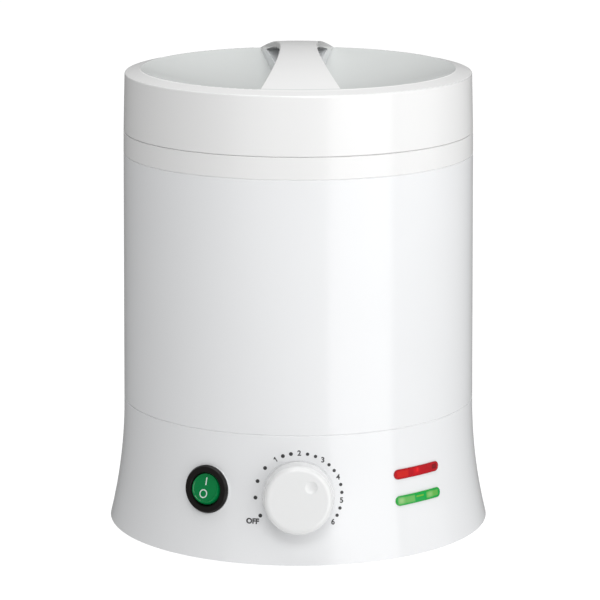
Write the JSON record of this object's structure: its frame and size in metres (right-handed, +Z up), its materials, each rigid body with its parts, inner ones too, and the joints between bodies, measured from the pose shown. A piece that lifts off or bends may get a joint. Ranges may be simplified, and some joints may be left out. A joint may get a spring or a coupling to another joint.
{
  "type": "wax warmer pot",
  "caption": "Round electric wax warmer with a lift-off lid, removable metal pot, temperature dial, rocker switch and indicator lamps in a flared base.",
  "frame": {"origin": "on the case's vertical axis, at the plane the feet stand on", "axes": "+Z up; -Y towards the front, where the dial is; +X to the right of someone facing the front"},
  "size_m": [0.187, 0.1959, 0.2355],
  "materials": {
    "case_white": "moulded, high gloss, slightly cool white",
    "lid_white": "moulded, high gloss, slightly warm white",
    "saddle_white": "moulded, satin gloss",
    "knob_white": "moulded, gloss",
    "red_clear": "translucent red",
    "green_clear": "translucent green",
    "lamp_glass": "neon lamp envelopes",
    "board_green": "laminate board",
    "screw_steel": "zinc plated",
    "bracket_steel": "plated steel",
    "thermostat_case": "phenolic moulding",
    "brass": "plated brass",
    "switch_black": "black nylon",
    "rocker_green": "translucent green",
    "well_alu": "spun aluminium",
    "pot_alu": "satin aluminium",
    "band_steel": "sheathed mica band heater",
    "wrap_fibre": "glass fibre felt",
    "cutout_black": "phenolic disc cut-out",
    "bulb_copper": "copper",
    "cover_white": "moulded, fine texture",
    "foot_rubber": "soft rubber",
    "inlet_black": "black nylon",
    "block_nylon": "natural nylon",
    "wire_brown": "silicone sleeve",
    "wire_blue": "silicone sleeve",
    "wire_white": "silicone sleeve",
    "wire_earth": "green and yellow sleeve"
  },
  "bodies": {
    "case": {"base_housing": "case_white", "red_lens": "red_clear", "green_lens": "green_clear", "lamp_board": "board_green", "board_screws": "screw_steel", "indicator_lamps": "lamp_glass", "thermostat_body": "thermostat_case", "thermostat_nut": "bracket_steel", "thermostat_terminals": "brass", "switch_housing": "switch_black", "switch_terminals": "brass", "body_shell": "case_white", "collar_ring": "lid_white", "collar_screws": "screw_steel", "heating_well": "well_alu", "heater_band": "band_steel", "band_screws": "screw_steel", "band_nuts": "screw_steel", "insulation_wrap": "wrap_fibre", "heat_shield": "well_alu", "thermal_cutout": "cutout_black", "cutout_bracket": "bracket_steel", "cutout_screws": "screw_steel", "earth_stud": "screw_steel", "sensing_bulb": "bulb_copper", "bottom_cover": "cover_white", "cover_screws": "screw_steel", "rubber_feet": "foot_rubber", "inlet_pins": "brass", "inlet_socket": "inlet_black", "terminal_block": "block_nylon", "supply_wires": "wire_brown", "heater_wires": "wire_brown", "neutral_wires": "wire_blue", "lamp_wires": "wire_white", "earth_wire": "wire_earth", "capillary_tube": "bulb_copper"},
    "pot": {"wax_pot": "pot_alu"},
    "lid": {"lid_cover": "lid_white", "lid_saddle": "saddle_white"},
    "knob": {"dial_knob": "knob_white", "thermostat_shaft": "bracket_steel"},
    "rocker": {"switch_rocker": "rocker_green"}
  },
  "joints": [
    {"name": "pot_lift", "type": "slide", "parent": "case", "child": "pot", "axis": [0, 0, 1], "range_m": [0, 0.13]},
    {"name": "lid_lift", "type": "slide", "parent": "pot", "child": "lid", "axis": [0, 0, 1], "range_m": [0, 0.12]},
    {"name": "knob_turn", "type": "hinge", "parent": "case", "child": "knob", "pos_m": [0, -0.09269, 0.03468], "axis": [0, 0.9933, -0.1151], "range_deg": [-160.8, 83]},
    {"name": "rocker_tip", "type": "hinge", "parent": "case", "child": "rocker", "pos_m": [-0.04265, -0.076, 0.03469], "axis": [0.8721, -0.4894, 0], "range_deg": [0, 24]}
  ]
}
